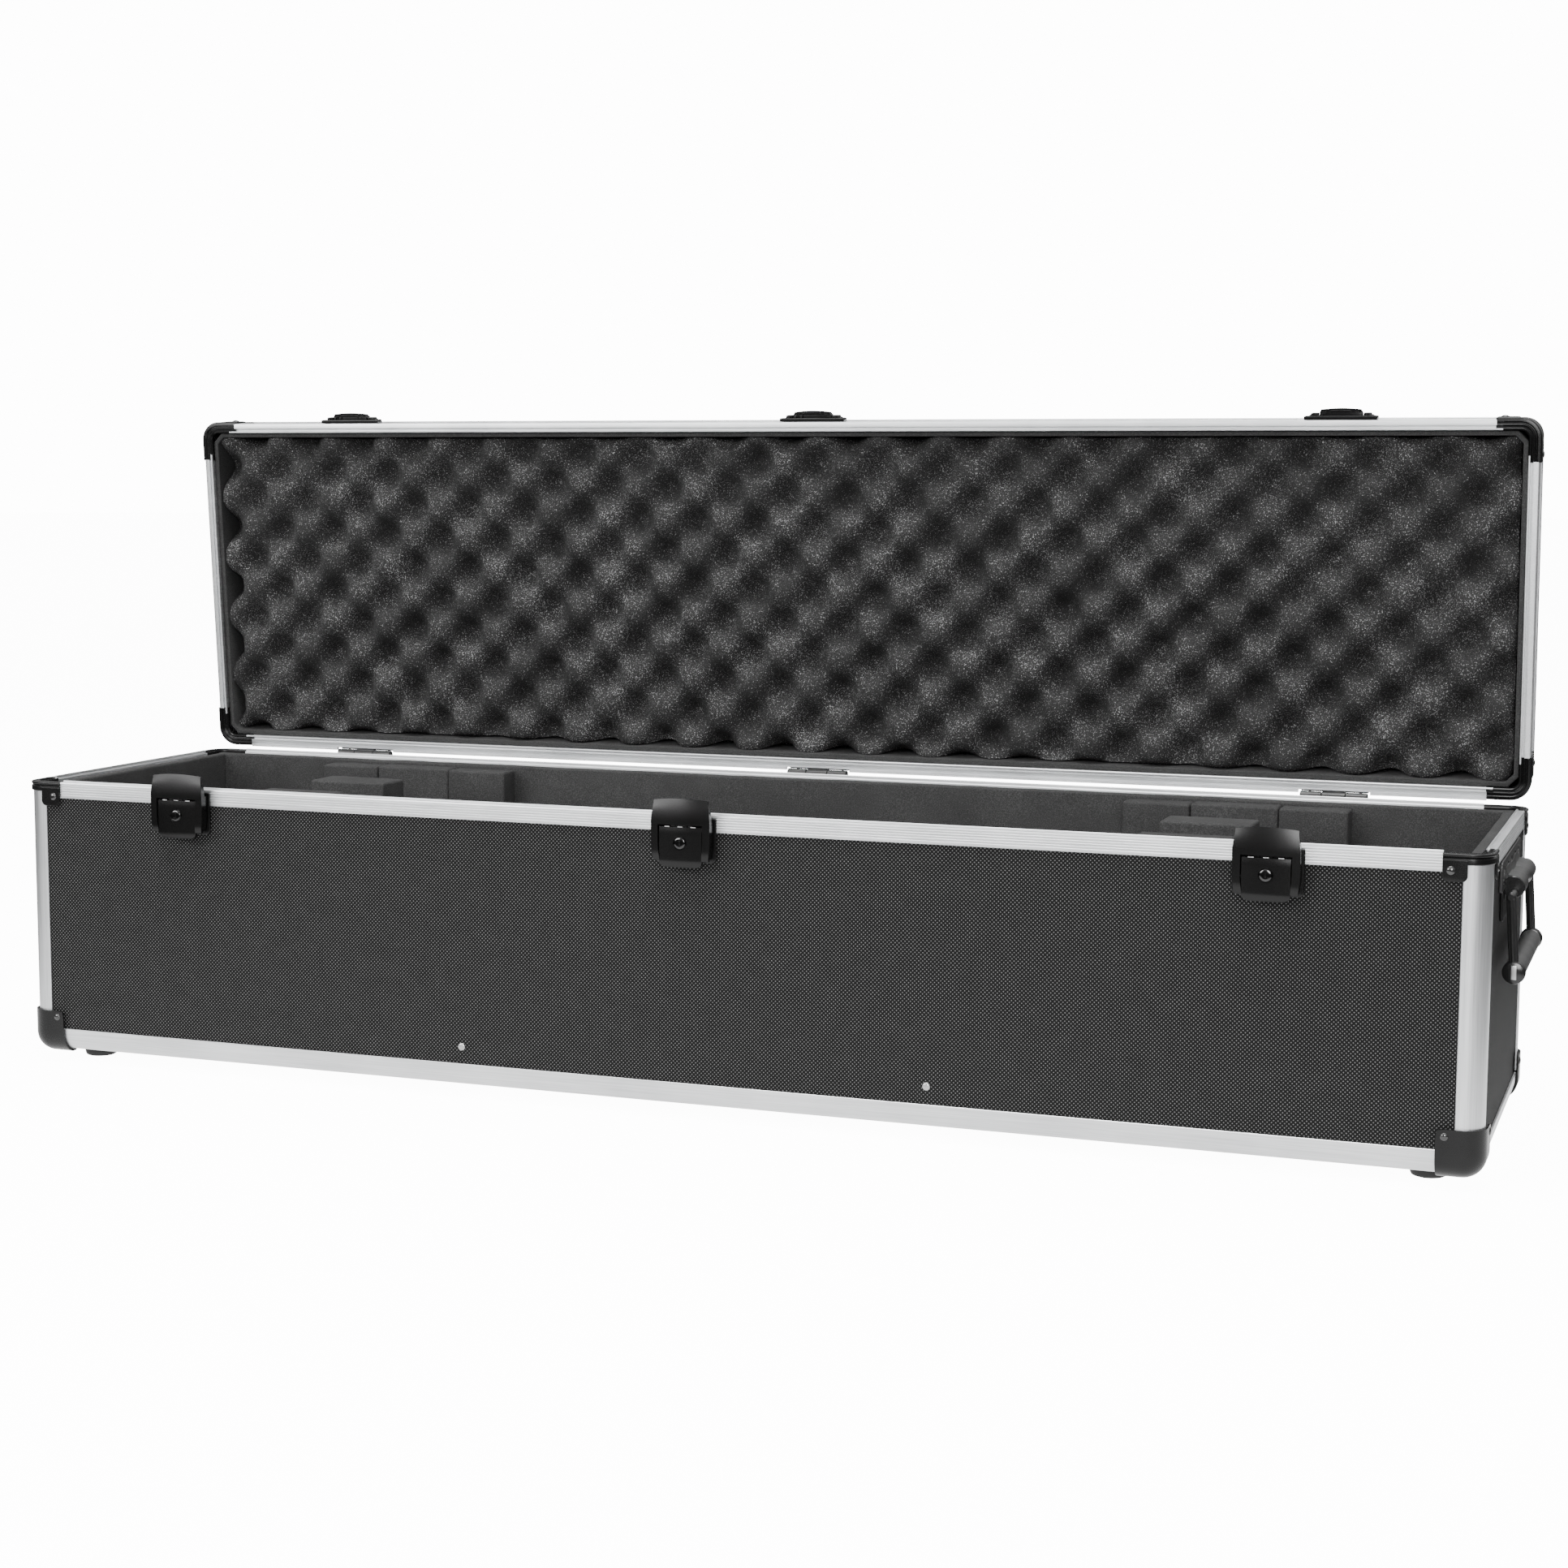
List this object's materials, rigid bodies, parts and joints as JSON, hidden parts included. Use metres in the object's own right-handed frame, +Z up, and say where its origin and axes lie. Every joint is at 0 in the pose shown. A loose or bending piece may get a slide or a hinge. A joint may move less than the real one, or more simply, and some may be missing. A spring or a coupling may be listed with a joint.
{
  "type": "telescope carry case",
  "caption": "Long aluminium-edged hard case for a telescope tube, with a hinged egg-crate-lined lid, notched foam rests, draw latches with key locks and swing handles at the ends.",
  "frame": {"origin": "centre of the bounding box's bottom face, on the floor under the open case (halfway between the latches' fronts and the back of the open lid)", "axes": "+X along the length, from the left handle to the right one as seen from the latches; -Y towards the latches, +Y towards the hinges and open lid; +Z up"},
  "size_m": [1.322, 0.3976, 0.5897],
  "materials": {
    "panel_laminate": "thin wooden board faced with satin black laminate, embossed on the long front with a fine diamond pattern",
    "aluminium_profile": "satin silver anodised extrusion with fine lengthwise grooves on the rims",
    "black_corner_plastic": "moulded black corner with a soft sheen and a domed rivet",
    "latch_black_metal": "black coated pressed steel, semi-gloss",
    "lock_black_chrome": "dark polished lock cylinder with a keyway",
    "hinge_steel": "blackened steel hinge",
    "handle_black": "black handle fitting, glossy straps and a satin grip",
    "liner_foam": "smooth cut charcoal foam with a fine open grain",
    "egg_crate_foam": "convoluted egg-crate charcoal foam with soft rounded peaks",
    "foot_rubber": "matte black rubber"
  },
  "bodies": {
    "base": {"front_panel": "panel_laminate", "rear_panel": "panel_laminate", "left_end_panel": "panel_laminate", "right_end_panel": "panel_laminate", "floor_panel": "panel_laminate", "bottom_edge_frame": "aluminium_profile", "base_rim": "aluminium_profile", "corner_post_front_left": "aluminium_profile", "base_rim_corner_front_left": "black_corner_plastic", "bottom_corner_front_left": "black_corner_plastic", "foot_front_left": "foot_rubber", "corner_post_front_right": "aluminium_profile", "base_rim_corner_front_right": "black_corner_plastic", "bottom_corner_front_right": "black_corner_plastic", "foot_front_right": "foot_rubber", "corner_post_rear_left": "aluminium_profile", "base_rim_corner_rear_left": "black_corner_plastic", "bottom_corner_rear_left": "black_corner_plastic", "foot_rear_left": "foot_rubber", "corner_post_rear_right": "aluminium_profile", "base_rim_corner_rear_right": "black_corner_plastic", "bottom_corner_rear_right": "black_corner_plastic", "foot_rear_right": "foot_rubber", "base_floor_foam": "liner_foam", "base_wall_foam": "liner_foam", "foam_divider_left": "liner_foam", "foam_divider_right": "liner_foam", "latch_plate_left": "latch_black_metal", "hinge_base_leaf_left": "hinge_steel", "latch_plate_middle": "latch_black_metal", "hinge_base_leaf_middle": "hinge_steel", "latch_plate_right": "latch_black_metal", "hinge_base_leaf_right": "hinge_steel", "handle_mount_left": "handle_black", "handle_mount_right": "handle_black"},
    "lid": {"lid_shell": "panel_laminate", "lid_rim": "aluminium_profile", "lid_edge_frame": "aluminium_profile", "lid_foam": "egg_crate_foam", "lid_rim_corner_front_left": "black_corner_plastic", "lid_rim_corner_front_right": "black_corner_plastic", "lid_rim_corner_rear_left": "black_corner_plastic", "lid_rim_corner_rear_right": "black_corner_plastic", "hinge_lid_leaf_left": "hinge_steel", "hinge_lid_leaf_middle": "hinge_steel", "hinge_lid_leaf_right": "hinge_steel", "lid_catch_left": "latch_black_metal", "lid_catch_middle": "latch_black_metal", "lid_catch_right": "latch_black_metal"},
    "latch_flap_left": {"latch_flap_left": "latch_black_metal"},
    "latch_hook_left": {"latch_hook_left": "latch_black_metal"},
    "lock_key_left": {"key_cylinder_left": "lock_black_chrome"},
    "latch_flap_middle": {"latch_flap_middle": "latch_black_metal"},
    "latch_hook_middle": {"latch_hook_middle": "latch_black_metal"},
    "lock_key_middle": {"key_cylinder_middle": "lock_black_chrome"},
    "latch_flap_right": {"latch_flap_right": "latch_black_metal"},
    "latch_hook_right": {"latch_hook_right": "latch_black_metal"},
    "lock_key_right": {"key_cylinder_right": "lock_black_chrome"},
    "bail_left": {"handle_bail_left": "handle_black"},
    "bail_right": {"handle_bail_right": "handle_black"}
  },
  "joints": [
    {"name": "lid_hinge", "type": "hinge", "parent": "base", "child": "lid", "pos_m": [0, 0.14008, 0.255], "axis": [1, 0, 0], "range_deg": [0, 85.9]},
    {"name": "latch_flap_left_lift", "type": "hinge", "parent": "base", "child": "latch_flap_left", "pos_m": [-0.476, -0.19192, 0.246], "axis": [-1, 0, 0], "range_deg": [0, 95]},
    {"name": "latch_hook_left_draw", "type": "hinge", "parent": "latch_flap_left", "child": "latch_hook_left", "pos_m": [-0.476, -0.19242, 0.23], "axis": [-1, 0, 0], "range_deg": [-109.25, 0]},
    {"name": "lock_key_left_turn", "type": "hinge", "parent": "latch_flap_left", "child": "lock_key_left", "pos_m": [-0.476, -0.19492, 0.2326], "axis": [0, -1, 0], "range_deg": [0, 90]},
    {"name": "latch_flap_middle_lift", "type": "hinge", "parent": "base", "child": "latch_flap_middle", "pos_m": [0, -0.19192, 0.246], "axis": [-1, 0, 0], "range_deg": [0, 95]},
    {"name": "latch_hook_middle_draw", "type": "hinge", "parent": "latch_flap_middle", "child": "latch_hook_middle", "pos_m": [0, -0.19242, 0.23], "axis": [-1, 0, 0], "range_deg": [-109.25, 0]},
    {"name": "lock_key_middle_turn", "type": "hinge", "parent": "latch_flap_middle", "child": "lock_key_middle", "pos_m": [0, -0.19492, 0.2326], "axis": [0, -1, 0], "range_deg": [0, 90]},
    {"name": "latch_flap_right_lift", "type": "hinge", "parent": "base", "child": "latch_flap_right", "pos_m": [0.476, -0.19192, 0.246], "axis": [-1, 0, 0], "range_deg": [0, 95]},
    {"name": "latch_hook_right_draw", "type": "hinge", "parent": "latch_flap_right", "child": "latch_hook_right", "pos_m": [0.476, -0.19242, 0.23], "axis": [-1, 0, 0], "range_deg": [-109.25, 0]},
    {"name": "lock_key_right_turn", "type": "hinge", "parent": "latch_flap_right", "child": "lock_key_right", "pos_m": [0.476, -0.19492, 0.2326], "axis": [0, -1, 0], "range_deg": [0, 90]},
    {"name": "bail_left_swing", "type": "hinge", "parent": "base", "child": "bail_left", "pos_m": [-0.648, -0.02492, 0.213], "axis": [0, 1, 0], "range_deg": [0, 90]},
    {"name": "bail_right_swing", "type": "hinge", "parent": "base", "child": "bail_right", "pos_m": [0.648, -0.02492, 0.213], "axis": [0, -1, 0], "range_deg": [0, 90]}
  ],
  "couplings": [
    {"joint": "latch_hook_left_draw", "follows": "latch_flap_left_lift", "ratio": -1.15},
    {"joint": "latch_hook_middle_draw", "follows": "latch_flap_middle_lift", "ratio": -1.15},
    {"joint": "latch_hook_right_draw", "follows": "latch_flap_right_lift", "ratio": -1.15}
  ]
}
